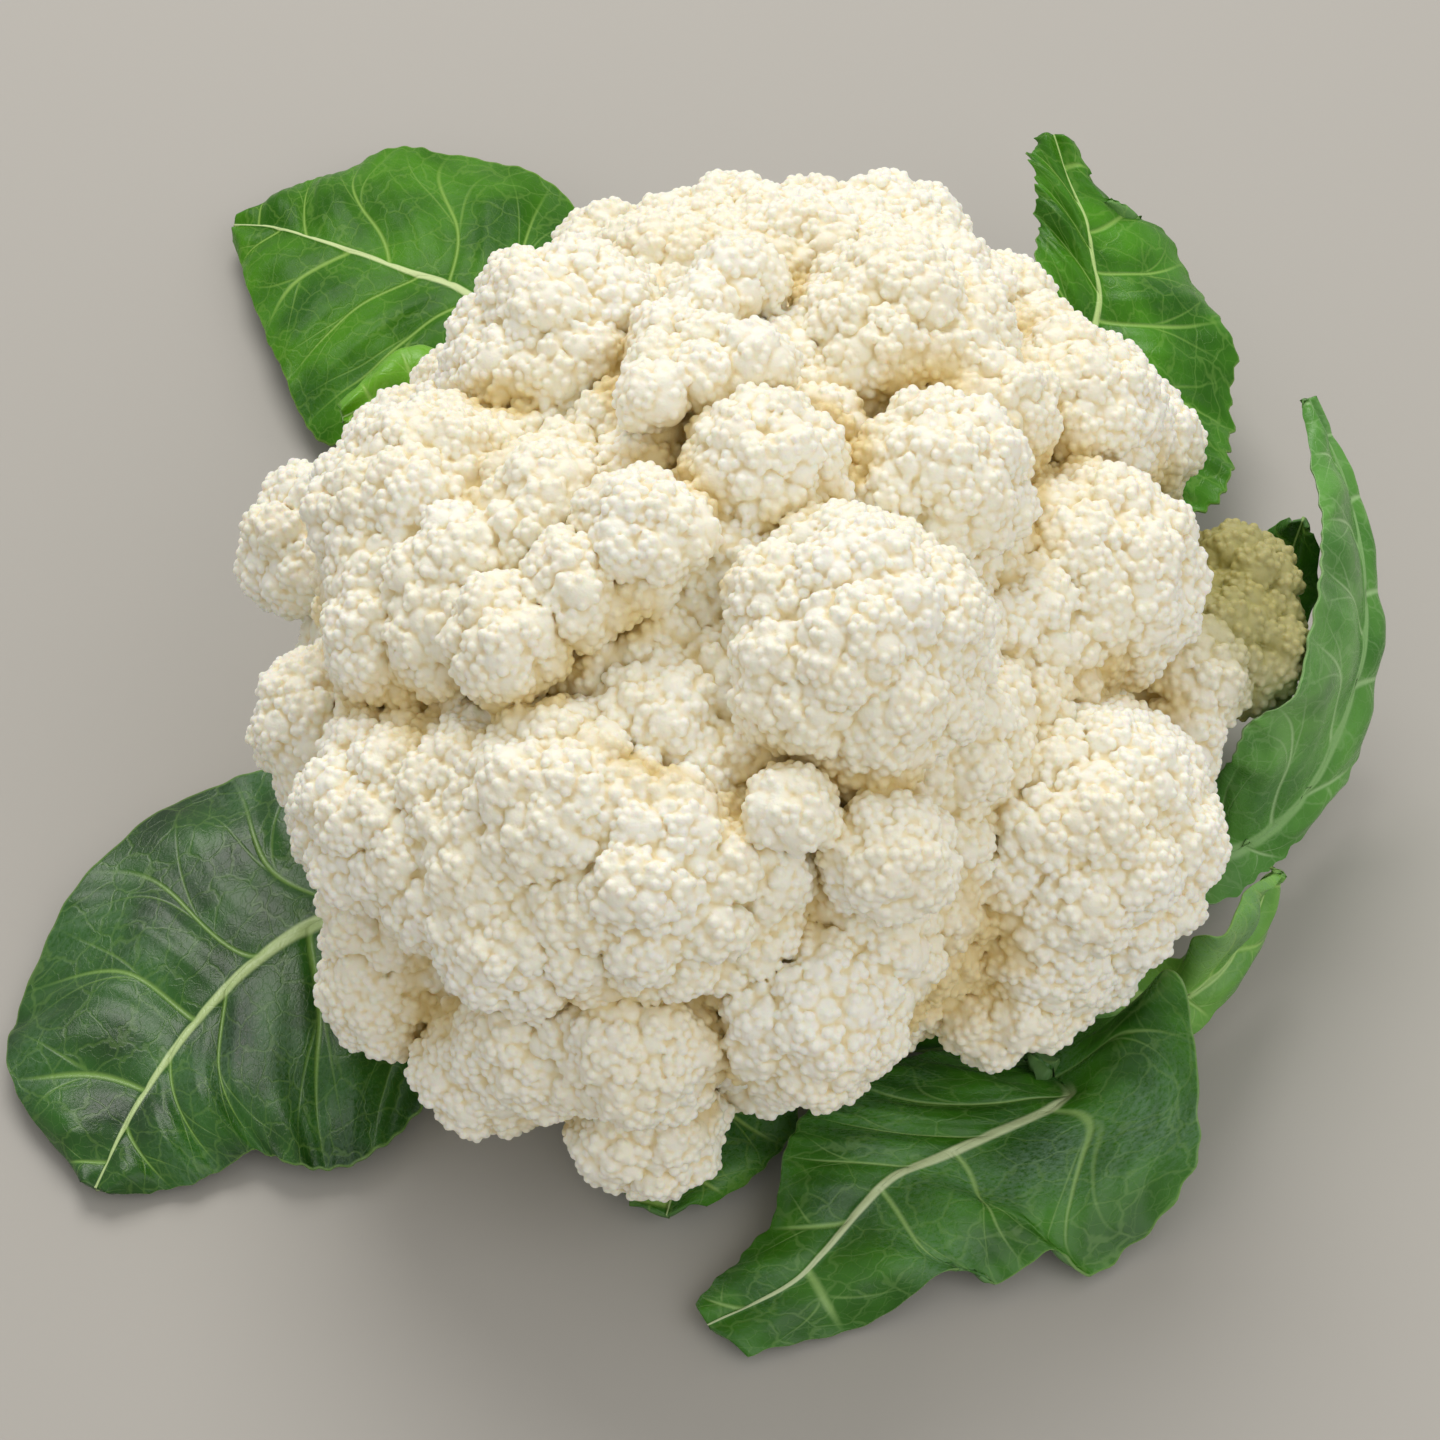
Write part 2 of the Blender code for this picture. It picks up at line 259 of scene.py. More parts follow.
# What each leaf looks like: its colours, its share of whitish bloom, its gloss, how far its teeth, puckers
# and ruffles stand out, the length of a ruffle's wave and the distance between its side veins.
LEAF_LOOKS = {
    "leaf_back_left": dict(
        dark=(0.022, 0.105, 0.003), light=(0.070, 0.24, 0.008), veins=(0.30, 0.50, 0.10),
        stalk=(0.62, 0.74, 0.36),
        bloom=0.08, gloss=0.10, teeth=0.3, pucker=0.7, ruffle=1.6, wave=26, vein_step=21, slot="leaf_dark",
    ),
    "leaf_back_left_small": dict(
        dark=(0.070, 0.25, 0.004), light=(0.17, 0.46, 0.015), veins=(0.35, 0.58, 0.12),
        stalk=(0.45, 0.66, 0.25),
        bloom=0.05, gloss=0.3, teeth=0.3, pucker=0.5, ruffle=1.0, wave=14, vein_step=11, slot="leaf_light",
    ),
    "leaf_front_left": dict(
        dark=(0.006, 0.034, 0.003), light=(0.028, 0.125, 0.010), veins=(0.24, 0.42, 0.09),
        stalk=(0.46, 0.60, 0.26),
        bloom=0.22, gloss=0.35, teeth=0.3, pucker=1.0, ruffle=1.8, wave=30, vein_step=20, slot="leaf_dark",
    ),
    "leaf_back_right": dict(
        dark=(0.022, 0.110, 0.003), light=(0.075, 0.28, 0.010), veins=(0.32, 0.54, 0.12),
        stalk=(0.50, 0.68, 0.25),
        bloom=0.05, gloss=0.2, teeth=1.0, pucker=1.0, ruffle=2.2, wave=19, vein_step=16, slot="leaf_dark",
    ),
    "leaf_right": dict(
        dark=(0.055, 0.20, 0.025), light=(0.14, 0.38, 0.065), veins=(0.42, 0.64, 0.30),
        stalk=(0.26, 0.48, 0.17),
        bloom=0.12, gloss=0.25, teeth=0.6, pucker=0.7, ruffle=0.9, wave=24, vein_step=17, slot="leaf_pale",
    ),
    "leaf_right_small": dict(
        dark=(0.014, 0.070, 0.003), light=(0.055, 0.22, 0.008), veins=(0.20, 0.40, 0.07),
        stalk=(0.35, 0.55, 0.18),
        bloom=0.1, gloss=0.35, teeth=0.4, pucker=0.5, ruffle=1.0, wave=14, vein_step=12, slot="leaf_dark",
    ),
    "leaf_right_lower": dict(
        dark=(0.085, 0.26, 0.035), light=(0.21, 0.48, 0.075), veins=(0.36, 0.60, 0.15),
        stalk=(0.40, 0.62, 0.20),
        bloom=0.35, gloss=0.35, teeth=0.2, pucker=0.2, ruffle=0.3, wave=20, vein_step=15, slot="leaf_pale",
    ),
    "leaf_front_right": dict(
        dark=(0.016, 0.085, 0.004), light=(0.055, 0.22, 0.010), veins=(0.32, 0.52, 0.16),
        stalk=(0.56, 0.66, 0.38),
        bloom=0.5, gloss=0.35, teeth=0.4, pucker=0.9, ruffle=1.4, wave=24, vein_step=19, slot="leaf_dark",
    ),
    "leaf_front_under": dict(
        dark=(0.016, 0.085, 0.004), light=(0.055, 0.20, 0.010), veins=(0.32, 0.50, 0.12),
        stalk=(0.46, 0.60, 0.26),
        bloom=0.2, gloss=0.3, teeth=0.5, pucker=0.7, ruffle=1.0, wave=18, vein_step=15, slot="leaf_dark",
    ),
}
# How far along the leaf in front on the right the stalk under the head is painted the blade's darker green
# instead of pale, as painted shade, before the pale midrib starts.
STALK_PAINTED_SHADE_END = {"leaf_front_right": 62.0}
LEAF_STEP = 0.7
BLADE_THICKNESS = 0.8
RIB_THICKNESS = 3.6
VEIN_ANGLE = math.radians(52)
FLOOR_GAP = 0.3

# The view, with the lights and the floor that it is seen in (metres and watts).
VIEW_ELEVATION = math.radians(50)
VIEW_TARGET = (0, 0, 0.048)
VIEW_DISTANCE = 0.6207
VIEW_LENS = 90
VIEW_SENSOR = 36
LIGHT_TARGET = (0, 0, 0.05)
SKY_COLOUR = (1.0, 0.99, 0.96, 1.0)
SKY_STRENGTH = 0.56
FLOOR_SIDE = 3.0
FLOOR_COLOUR = (0.44, 0.42, 0.39)


def fill_florets():
    """Florets on a golden-angle spiral about the head, wherever no floret with its own place is near."""
    filled = []
    for i in range(FILL_COUNT):
        up = 1 - 2 * (i + 0.5) / FILL_COUNT
        out, turn = math.sqrt(1 - up**2), i * GOLDEN_ANGLE
        centre = HEAD_CENTRE + FILL_RADII * (out * math.cos(turn), out * math.sin(turn), up)
        nearest = min(math.dist(centre, row[:3]) for group in FLORET_GROUPS for row in group)
        if up > FILL_LOWEST and nearest > FILL_SPACING:
            filled.append((*centre, FILL_RADIUS))
    return filled


def grown_together(group):
    """The florets of one group, with a bridging ball between each two that are near."""
    bridges = []
    for a, b in itertools.combinations(np.array(group, float), 2):
        if math.dist(a[:3], b[:3]) < BRIDGE_REACH * max(a[3], b[3]):
            middle = (a + b) / 2
            middle[3] *= BRIDGE_SHARE
            bridges.append(tuple(middle))
    return [*group, *bridges]


def unit(vectors):
    return vectors / np.linalg.norm(vectors, axis=-1, keepdims=True)


def spiral(count):
    """Directions spread evenly over a sphere, from +Z down, by the golden angle."""
    up = 1 - 2 * (np.arange(count) + 0.5) / count
    out = np.sqrt(1 - up**2)
    turn = np.arange(count) * GOLDEN_ANGLE
    return np.stack((out * np.cos(turn), out * np.sin(turn), up), axis=1)


def buds_on(centre, radius, axis, spacing, sizes, sink, lowest, jitter):
    """Buds spread over one ball about its axis: their centres, radii and the ways that they face."""
    count = max(8, round(4 * math.pi * radius**2 / (0.87 * spacing**2)))
    turn = np.array(Vector(axis).to_track_quat("Z", "Y").to_matrix())
    aims = spiral(count) + rng.normal(0, jitter * spacing / radius, (count, 3))
    aims = unit(aims)
    aims = aims[aims[:, 2] > lowest] @ turn.T
    radii = rng.uniform(*sizes, len(aims))
    centres = centre + aims * (radius - sink * radii)[:, None]
    return centres, radii, aims


def tree_of(points):
    tree = kdtree.KDTree(len(points))
    for i, point in enumerate(points):
        tree.insert(point, i)
    tree.balance()
    return tree


def uncovered(buds, parents, owners, cover):
    """Which buds still show: those whose tips no other parent ball covers by cover times their radius."""
    centres, radii, aims = buds
    tips = centres + aims * radii[:, None]
    tree = tree_of(parents[0])
    widest = parents[1].max()
    kept = np.ones(len(tips), bool)
    for i, tip in enumerate(tips):
        for _, j, distance in tree.find_range(tip, widest):
            if j != owners[i] and distance < parents[1][j] - cover * radii[i]:
                kept[i] = False
                break
    return kept


def next_level(parents, spacing, sizes, sink, lowest, jitter, cover):
    """All the buds of one level on all the balls of the level above."""
    found, owners = [], []
    for i, (centre, radius, axis) in enumerate(zip(*parents)):
        step, span = spacing(radius), sizes(radius)
        made = buds_on(centre, radius, axis, step, span, sink, lowest, jitter)
        found.append(made)
        owners += [i] * len(made[1])
    buds = [np.concatenate(part) for part in zip(*found)]
    kept = uncovered(buds, parents, owners, cover)
    return [part[kept] for part in buds]


def room_below(points):
    """How far above the underside of the head each point is."""
    return points[:, 2] - CONE_START - CONE_RISE * np.hypot(points[:, 0], points[:, 1])


def kept_above(centres, radii):
    """The balls made small enough to stay above the underside, without those that have no room there."""
    radii = np.minimum(radii, room_below(centres) - UNDERSIDE_ROOM)
    kept = radii > LEAST_BALL
    return centres[kept], radii[kept]


def thinned(buds, nearest):
    """Buds no closer together than this, earlier ones first."""
    centres = buds[0]
    tree = tree_of(centres)
    kept = np.ones(len(centres), bool)
    for i, centre in enumerate(centres):
        if kept[i]:
            for _, j, _ in tree.find_range(centre, nearest):
                if j > i:
                    kept[j] = False
    return [part[kept] for part in buds]


def core_lobes():
    """Lobes on the core between the florets, so that the deep gaps are covered too."""
    aims = spiral(CORE_LOBES)
    normals = unit(aims / CORE_RADII)
    centres = HEAD_CENTRE + aims * (CORE_RADII - CORE_LOBE_DEPTH)
    radii = np.full(len(aims), CORE_LOBE_RADIUS)
    return [centres, radii, normals]


def branches(florets):
    """Balls along each floret's branch, from the stem to the floret."""
    centres, radii = [], []
    for centre, radius in zip(florets[0], florets[1]):
        length = np.linalg.norm(centre - BRANCH_ROOT)
        for share in np.arange(0, 1, BRANCH_STEP / length):
            centres.append(BRANCH_ROOT + (centre - BRANCH_ROOT) * share)
            radii.append(BRANCH_RADIUS + (BRANCH_SHARE * radius - BRANCH_RADIUS) * share)
    return np.array(centres), np.array(radii)


def core_balls():
    """Balls that fill the inside of the head."""
    reach = CORE_RADII - CORE_BALL - CORE_CLEARANCE
    steps = [np.arange(-r, r + 1, CORE_STEP) for r in CORE_RADII]
    grid = np.stack(np.meshgrid(*steps, indexing="ij"), axis=-1).reshape(-1, 3)
    inside = (grid**2 / reach**2).sum(axis=1) < 1
    centres = HEAD_CENTRE + grid[inside]
    return centres, np.full(len(centres), CORE_BALL)


def skin(centres, radii):
    """One closed surface round all these balls."""
    cloud = bpy.data.meshes.new("balls")
    cloud.vertices.add(len(centres))
    cloud.vertices.foreach_set("co", centres.astype(np.float32).ravel())
    sizes = cloud.attributes.new("size", "FLOAT", "POINT")
    sizes.data.foreach_set("value", (radii + SKIN_LEVEL * VOXEL).astype(np.float32))
    holder = bpy.data.objects.new("balls", cloud)
    bpy.context.scene.collection.objects.link(holder)
    tree = bpy.data.node_groups.new("skin", "GeometryNodeTree")
    tree.interface.new_socket("Geometry", in_out="INPUT", socket_type="NodeSocketGeometry")
    tree.interface.new_socket("Geometry", in_out="OUTPUT", socket_type="NodeSocketGeometry")
    start, end = tree.nodes.new("NodeGroupInput"), tree.nodes.new("NodeGroupOutput")
    size = tree.nodes.new("GeometryNodeInputNamedAttribute")
    size.data_type = "FLOAT"
    size.inputs["Name"].default_value = "size"
    to_points = tree.nodes.new("GeometryNodeMeshToPoints")
    to_volume = tree.nodes.new("GeometryNodePointsToVolume")
    to_volume.resolution_mode = "VOXEL_SIZE"
    to_volume.inputs["Voxel Size"].default_value = VOXEL
    to_mesh = tree.nodes.new("GeometryNodeVolumeToMesh")
    to_mesh.inputs["Threshold"].default_value = SKIN_LEVEL
    tree.links.new(start.outputs[0], to_points.inputs["Mesh"])
    tree.links.new(to_points.outputs[0], to_volume.inputs["Points"])
    tree.links.new(size.outputs["Attribute"], to_volume.inputs["Radius"])
    tree.links.new(to_volume.outputs[0], to_mesh.inputs["Volume"])
    island = tree.nodes.new("GeometryNodeInputMeshIsland")
    store = tree.nodes.new("GeometryNodeStoreNamedAttribute")
    store.data_type = "INT"
    store.inputs["Name"].default_value = "island"
    tree.links.new(to_mesh.outputs[0], store.inputs["Geometry"])
    tree.links.new(island.outputs["Island Index"], store.inputs["Value"])
    tree.links.new(store.outputs[0], end.inputs[0])
    holder.modifiers.new("skin", "NODES").node_group = tree
    graph = bpy.context.evaluated_depsgraph_get()
    surface = bpy.data.meshes.new_from_object(holder.evaluated_get(graph))
    bpy.data.objects.remove(holder)
    bpy.data.meshes.remove(cloud)
    bpy.data.node_groups.remove(tree)
    return surface


def largest_island(surface):
    """A mesh of the biggest connected part of a surface of quads, without the small hollows inside it."""
    islands = np.empty(len(surface.vertices), np.int32)
    surface.attributes["island"].data.foreach_get("value", islands)
    corners = np.empty(len(surface.loops), np.int32)
    surface.loops.foreach_get("vertex_index", corners)
    kept = islands == np.bincount(islands).argmax()
    quads = corners.reshape(-1, 4)
    quads = quads[kept[quads[:, 0]]]
    numbers = np.cumsum(kept) - 1
    points = coordinates(surface)[kept]
    bpy.data.meshes.remove(surface)
    return quad_mesh("curd_beaded", points, numbers[quads])


def quad_mesh(name, points, quads):
    mesh = bpy.data.meshes.new(name)
    mesh.vertices.add(len(points))
    mesh.vertices.foreach_set("co", points.astype(np.float32).ravel())
    mesh.loops.add(quads.size)
    mesh.loops.foreach_set("vertex_index", quads.astype(np.int32).ravel())
    mesh.polygons.add(len(quads))
    mesh.polygons.foreach_set("loop_start", np.arange(0, quads.size, 4, dtype=np.int32))
    mesh.update(calc_edges=True)
    return mesh


def coordinates(mesh):
    points = np.empty(len(mesh.vertices) * 3, np.float32)
    mesh.vertices.foreach_get("co", points)
    return points.reshape(-1, 3).astype(float)


def edge_ends(mesh):
    ends = np.empty(len(mesh.edges) * 2, np.int32)
    mesh.edges.foreach_get("vertices", ends)
    return ends.reshape(-1, 2)


def averaged(points, ends, rounds, pull=1.0):
    """Each point moved towards the mean of its neighbours, this many times."""
    count = len(points)
    starts, stops = np.concatenate((ends, ends[:, ::-1])).T
    weights = np.bincount(starts, minlength=count)
    for _ in range(rounds):
        sums = [np.bincount(starts, column[stops], count) for column in points.T]
        points = points + pull * (np.stack(sums, axis=1) / weights[:, None] - points)
    return points


def gap_depth(points, florets):
    """How deep each point lies in a gap between two florets, in millimetres, and 0 well away from a gap."""
    outward = unit(points - BRANCH_ROOT)
    depth = np.empty(len(points))
    for start in range(0, len(points), GAP_CHUNK):
        part = slice(start, start + GAP_CHUNK)
        places = points[part]
        away = np.stack([np.linalg.norm(places - c, axis=1) - r for c, r in zip(florets[0], florets[1])])
        nearest = np.argpartition(away, 1, axis=0)[:2]
        first, second = np.take_along_axis(away, nearest, axis=0)
        tops = [(florets[0][k] * outward[part]).sum(axis=1) + florets[1][k] for k in nearest]
        below = np.minimum(*tops) - (places * outward[part]).sum(axis=1)
        depth[part] = below * np.exp(-(second - first) / GAP_FADE)
    return depth


def set_attribute(mesh, name, values):
    attribute = mesh.attributes.new(name, "FLOAT", "POINT")
    attribute.data.foreach_set("value", values.astype(np.float32))


def make_head():
    """The white head as one surface: florets, lobes, clusters and beads, round a filled core."""
    placed = [row for group in FLORET_GROUPS for row in grown_together(group)]
    rows = np.array((*placed, *fill_florets()), float)
    centres, radii = rows[:, :3], rows[:, 3] - FLORET_SHRINK
    florets = [centres, radii, unit(centres - BRANCH_ROOT)]
    lobes = next_level(
        florets,
        spacing=lambda r: LOBE_SPACING * LOBE_SIZE * math.sqrt(r),
        sizes=lambda r: (0.75 * LOBE_SIZE * math.sqrt(r), 1.25 * LOBE_SIZE * math.sqrt(r)),
        **LOBES,
    )
    extra = core_lobes()
    shown = uncovered(extra, florets, [-1] * len(extra[1]), CORE_LOBE_COVER)
    lobes = [np.concatenate((a, b[shown])) for a, b in zip(lobes, extra)]
    ground = (florets[0], florets[1] - GROUND_INSET, florets[2])
    clusters = next_level(
        [np.concatenate(pair) for pair in zip(lobes, ground)],
        spacing=lambda r: CLUSTER_SPACING,
        sizes=lambda r: (0.75 * CLUSTER_RADIUS, 1.2 * CLUSTER_RADIUS),
        **CLUSTERS,
    )
    beads = next_level(
        clusters,
        spacing=lambda r: BEAD_SPACING,
        sizes=lambda r: (0.88 * BEAD_RADIUS, 1.16 * BEAD_RADIUS),
        **BEADS,
    )
    beads = thinned(beads, BEAD_SPACING)
    shown = room_below(beads[0]) > beads[1] + UNDERSIDE_ROOM
    beads = [part[shown] for part in beads]
    balls = (
        (beads[0], beads[1]),
        (clusters[0], clusters[1] - CLUSTER_INSET),
        (lobes[0], lobes[1] - LOBE_INSET),
        (florets[0], florets[1] - FLORET_INSET),
        branches(florets),
        core_balls(),
    )
    all_centres, all_radii = (np.concatenate(part) for part in zip(*balls))
    mesh = largest_island(skin(*kept_above(all_centres, all_radii)))
    ends = edge_ends(mesh)
    points = averaged(coordinates(mesh), ends, 1, 0.25)
    mesh.vertices.foreach_set("co", (points * MM).astype(np.float32).ravel())
    mesh.update()
    normals = np.empty(len(points) * 3, np.float32)
    mesh.vertices.foreach_get("normal", normals)
    normals = normals.reshape(-1, 3)
    fine = averaged(points, ends, round(2 * (BEAD_SCALE / VOXEL) ** 2))
    broad = averaged(fine, ends, round(2 * (CLUSTER_SCALE / VOXEL) ** 2))
    set_attribute(mesh, "bead", ((points - fine) * normals).sum(axis=1))
    set_attribute(mesh, "relief", ((points - broad) * normals).sum(axis=1))
    gap = averaged(gap_depth(points, florets)[:, None], ends, GAP_SOFTENING)
    set_attribute(mesh, "gap", gap[:, 0])
    add_flat_map(mesh, points)
    mesh.shade_smooth()
    head = bpy.data.objects.new("curd_beaded", mesh)
    bpy.context.scene.collection.objects.link(head)
    mesh.materials.append(curd_material())
    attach(head, "root")
    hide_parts("curd")


def add_flat_map(mesh, points):
    """A flat map of the head without seams: equal areas about the crown, with the stem's end at the rim."""
    aims = unit(points - HEAD_CENTRE)
    spread = np.sqrt((1 - aims[:, 2]) / 2)
    flat = aims[:, :2] / np.maximum(np.hypot(aims[:, 0], aims[:, 1]), 1e-6)[:, None]
    uv = 0.5 + 0.49 * flat * spread[:, None]
    corners = np.empty(len(mesh.loops), np.int32)
    mesh.loops.foreach_get("vertex_index", corners)
    layer = mesh.uv_layers.new(name="OFBake")
    layer.data.foreach_set("uv", uv[corners].astype(np.float32).ravel())


def through(rows, shares):
    """Points on the smooth curve through the rows (Catmull-Rom), at these shares of the way along it."""
    rows = np.array(rows, float)
    ends = np.concatenate((2 * rows[:1] - rows[1:2], rows, 2 * rows[-1:] - rows[-2:-1]))
    t = shares * (len(rows) - 1)
    i = np.minimum(t.astype(int), len(rows) - 2)
    f = (t - i)[:, None, None]
    a, b, c, d = (ends[i + k] for k in range(4))
    return b + 0.5 * f * (c - a + f * (2 * a - 5 * b + 4 * c - d + f * (3 * (b - c) + d - a)))


def smooth_step(value, low, high):
    t = np.clip((value - low) / (high - low), 0, 1)
    return t * t * (3 - 2 * t)


def ripple(x, y, seed):
    """A smooth, irregular wave over the plane, from about -1 to 1, with bumps about 6 across."""
    drawn = np.random.default_rng(seed)
    total = np.zeros(np.broadcast(x, y).shape)
    for turn, start in zip(drawn.uniform(0, 2 * math.pi, 7), drawn.uniform(0, 2 * math.pi, 7)):
        total += np.sin((x * math.cos(turn) + y * math.sin(turn)) * drawn.uniform(0.7, 1.3) + start)
    return total / 3.5


def normals_of(grid):
    """The direction that a grid of points faces, at each point."""
    along, across = np.gradient(grid, axis=0), np.gradient(grid, axis=1)
    return unit(np.cross(across, along))


def leaf_grid(sections):
    """Evenly spaced rows of the leaf's three guiding curves, and the length along the midrib at each."""
    shares = np.linspace(0, 1, 600)
    steps = np.linalg.norm(np.diff(through(sections, shares), axis=0), axis=2).mean(axis=1)
    lengths = np.concatenate(((0,), np.cumsum(steps)))
    rows = round(lengths[-1] / LEAF_STEP)
    even = np.interp(np.linspace(0, lengths[-1], rows), lengths, shares)
    return through(sections, even), even, np.linspace(0, lengths[-1], rows)


def make_leaf(name, sections, look, seed):
    """A leaf as a thin closed sheet: stalk, midrib, side veins, puckered blade and wavy, toothed margin."""
    curves, out, length = leaf_grid(sections)
    left, middle, right = curves.swapaxes(0, 1)
    widest = max(np.linalg.norm(left - middle, axis=1).max(), np.linalg.norm(right - middle, axis=1).max())
    columns = 2 * round(widest / LEAF_STEP) + 1
    s = np.linspace(-1, 1, columns)
    side = np.sign(s)
    along, out = length[:, None], out[:, None]
    width_left = np.linalg.norm(left - middle, axis=1)[:, None]
    width_right = np.linalg.norm(right - middle, axis=1)[:, None]
    half = np.where(s < 0, width_left, width_right)
    blade = smooth_step(out, 0.1, 0.35)
    teeth = 0.9 * look["teeth"] * ripple(along * 1.7, side * 9.0, seed + 1)
    teeth = teeth + 0.5 * ripple(along * 0.6, side * 9.0, seed + 2)
    reach = 1 + np.abs(s) ** 5 * teeth * blade / np.maximum(half, 4)
    lean = np.abs(s) * reach
    grid = middle[:, None] + (left - middle)[:, None] * (lean * (s < 0))[..., None]
    grid = grid + (right - middle)[:, None] * (lean * (s > 0))[..., None]
    normals = normals_of(grid)
    across = s * half
    lead = np.abs(across) / math.tan(VEIN_ANGLE) * (1.1 - 0.35 * np.abs(s))
    waver = 0.26 * ripple(along / 8, across / 8, seed + 3)
    phase = (along - lead) / look["vein_step"] + 0.5 * (s > 0) + waver
    from_vein = np.abs(phase - np.round(phase)) * look["vein_step"] * math.sin(VEIN_ANGLE)
    left_to_go = 1 - along / length[-1]
    rib_width = (3.7 + 6 * np.exp(-((along / 30) ** 2))) * left_to_go**1.2 + 0.15
    rib = np.exp(-((across / rib_width) ** 2))
    vein = np.exp(-((from_vein / 1.3) ** 2)) * (1 - np.abs(s) ** 3) * blade
    room = np.clip(half / 14, 0.1, 1) * blade
    arch = np.sin(np.pi * np.abs(s))
    raised = 1.5 * arch * np.clip(out / 0.3 - 1, 0, 1)
    raised = raised + room * arch * (0.55 - 0.55 * np.cos(2 * math.pi * phase)) * (1 - rib)
    stripes = ripple(phase * look["vein_step"] * 1.1, across / 10, seed + 6)
    pucker = 0.32 * stripes + 0.5 * ripple(along / 3.4, across / 3.4, seed + 7)
    pucker = pucker + 0.35 * ripple(along / 2.2, across / 2.2, seed + 4)
    raised = raised + look["pucker"] * room * np.abs(s) ** 0.5 * pucker
    ruffle = ripple(along * 6 / look["wave"], 7.0 * side, seed + 5)
    raised = raised + look["ruffle"] * room * np.abs(s) ** 3 * ruffle
    raised = raised + 0.5 * rib - 0.35 * vein
    top = grid + normals * raised[..., None]
    deep = BLADE_THICKNESS + (RIB_THICKNESS * rib * (0.25 + 0.75 * left_to_go) + 0.5 * vein)
    edge = 1 - 0.5 * smooth_step(np.abs(s), 0.85, 1.0)
    bottom = top - normals_of(top) * (deep * edge)[..., None]
    bottom[..., 2] = np.maximum(bottom[..., 2], FLOOR_GAP)
    top[..., 2] = np.maximum(top[..., 2], bottom[..., 2] + 0.3)
    shape = top.shape[:2]
    fields = {
        "along": np.broadcast_to(along, shape),
        "across": across,
        "phase": phase,
        "share": np.broadcast_to(np.abs(s), shape),
        "rib_width": np.broadcast_to(rib_width, shape),
        "blade": np.broadcast_to(blade, shape),
    }
    mesh = sheet_mesh(name + "_veined", top, bottom, fields)
    mesh.materials.append(leaf_material(name, look))
    piece = bpy.data.objects.new(name + "_veined", mesh)
    bpy.context.scene.collection.objects.link(piece)
    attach(piece, "root")
    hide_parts(name)


def sheet_mesh(name, top, bottom, fields):
    """A closed sheet from its two sides, with a flat map that lays them side by side."""
    rows, columns = top.shape[:2]
    upper = np.arange(rows * columns).reshape(rows, columns)
    lower = upper + rows * columns
    faces = np.stack((upper[:-1, :-1], upper[:-1, 1:], upper[1:, 1:], upper[1:, :-1]), axis=-1)
    backs = np.stack((lower[:-1, :-1], lower[1:, :-1], lower[1:, 1:], lower[:-1, 1:]), axis=-1)
    rim = np.concatenate((upper[:, 0], upper[-1, 1:], upper[-2::-1, -1], upper[0, -2:0:-1]))
    after = np.roll(rim, -1)
    sides = np.stack((rim, after, after + rows * columns, rim + rows * columns), axis=-1)
    quads = np.concatenate((faces.reshape(-1, 4), backs.reshape(-1, 4), sides))
    points = np.concatenate((top.reshape(-1, 3), bottom.reshape(-1, 3)))
    mesh = quad_mesh(name, points * MM, quads)
    for field, values in fields.items():
        set_attribute(mesh, field, np.tile(values.ravel(), 2))
    set_attribute(mesh, "under", np.repeat((0.0, 1.0), rows * columns))
    down, over = np.linspace(0.01, 0.99, rows), np.linspace(0.01, 0.49, columns)
    place = np.stack(np.meshgrid(down, over, indexing="ij"), axis=-1)
    place = place.reshape(-1, 2)[:, ::-1]
    flat = np.concatenate((place, place + (0.5, 0)))[quads]
    flat[-len(sides) :] = place[sides % (rows * columns)]
    layer = mesh.uv_layers.new(name="OFBake")
    layer.data.foreach_set("uv", flat.astype(np.float32).ravel())
    mesh.shade_smooth()
    return mesh


def make_stem():
    """The stump: flat at the cut, its side grooved and dented."""
    rings = np.array(STEM_RINGS)
    lengths = np.concatenate(((0,), np.cumsum(np.linalg.norm(np.diff(rings, axis=0), axis=1))))
    even = np.linspace(0, lengths[-1], round(lengths[-1] / STEM_RING_STEP))
    height, radius = (np.interp(even, lengths, rings[:, k])[:, None] for k in range(2))
    turn = np.linspace(0, 2 * math.pi, STEM_SIDES, endpoint=False)
    x, y = np.cos(turn), np.sin(turn)
    bark = smooth_step(height, 0.3, 3.0) * smooth_step(radius, 10, 16)
    dents = 0.35 * ripple(x * 22, y * 22, 201) + 0.5 * ripple(x * 5, height / 2.4 + y * 5, 202) - 0.8
    radius = radius + bark * dents
    points = np.stack(np.broadcast_arrays(radius * x, radius * y, height), axis=-1)
    rows, columns = points.shape[:2]
    place = np.arange(rows * columns).reshape(rows, columns)
    after = np.roll(place, -1, axis=1)
    quads = np.stack((place[:-1], place[1:], after[1:], after[:-1]), axis=-1).reshape(-1, 4)
    faces = [*quads.tolist(), place[0].tolist(), place[-1, ::-1].tolist()]
    mesh = bpy.data.meshes.new("stem_cut")
    mesh.from_pydata((points.reshape(-1, 3) * MM).tolist(), [], faces)
    mesh.update()
    mesh.shade_smooth()
    mesh.materials.append(stem_material())
    piece = bpy.data.objects.new("stem_cut", mesh)
    bpy.context.scene.collection.objects.link(piece)
    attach(piece, "root")
    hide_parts("stem")


